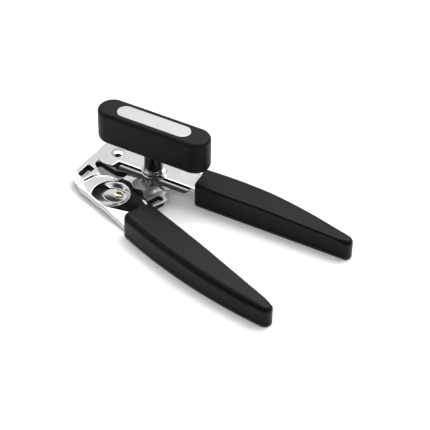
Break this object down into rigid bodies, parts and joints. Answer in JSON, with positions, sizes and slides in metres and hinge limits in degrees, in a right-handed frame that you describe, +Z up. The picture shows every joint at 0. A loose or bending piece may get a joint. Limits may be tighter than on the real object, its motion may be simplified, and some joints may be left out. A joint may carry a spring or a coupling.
{
  "type": "manual can opener",
  "caption": "Hand-held can opener with two hinged chromed arms, black grip handles, a long turning knob, a toothed feed wheel and a round cutting wheel.",
  "frame": {"origin": "centre of the bounding box at rest, on the plane the handles lie on", "axes": "+X along the upper arm from the pivot to the handle tip, +Z up through the turning knob, the lower arm opens towards -Y"},
  "size_m": [0.1806, 0.0962, 0.049],
  "materials": {
    "chromed_steel": "polished",
    "soft_grip": "satin",
    "hard_plastic": "satin",
    "satin_steel": "brushed",
    "wheel_steel": "machined",
    "brass": "satin"
  },
  "bodies": {
    "upper": {"upper_arm": "chromed_steel", "upper_handle_shell": "soft_grip", "upper_handle_base": "hard_plastic", "spindle_bush": "chromed_steel", "pivot_rivet": "satin_steel", "pivot_spacer": "satin_steel", "pivot_washer": "satin_steel"},
    "lower": {"lower_arm": "chromed_steel", "lower_handle_shell": "soft_grip", "lower_handle_base": "hard_plastic", "cutter_rivet": "brass", "cutter_washer": "satin_steel"},
    "crank": {"turn_knob": "soft_grip", "knob_core": "hard_plastic", "knob_inlay_plate": "satin_steel", "knob_spindle": "wheel_steel", "knob_collar": "chromed_steel", "spring_washer": "satin_steel", "wheel_spacer": "wheel_steel", "feed_wheel": "wheel_steel"},
    "cutter": {"cutter_wheel": "wheel_steel"}
  },
  "joints": [
    {"name": "arm_pivot", "type": "hinge", "parent": "upper", "child": "lower", "pos_m": [-0.07394, 0.03534, 0.00625], "axis": [0, 0, 1], "range_deg": [-25, 20]},
    {"name": "knob_turn", "type": "hinge", "parent": "upper", "child": "crank", "pos_m": [-0.04464, 0.03054, 0.0102], "axis": [0, 0, 1], "continuous": true},
    {"name": "cutter_spin", "type": "hinge", "parent": "lower", "child": "cutter", "pos_m": [-0.05672, 0.00779, 0.00055], "axis": [0, 0, 1], "continuous": true}
  ]
}
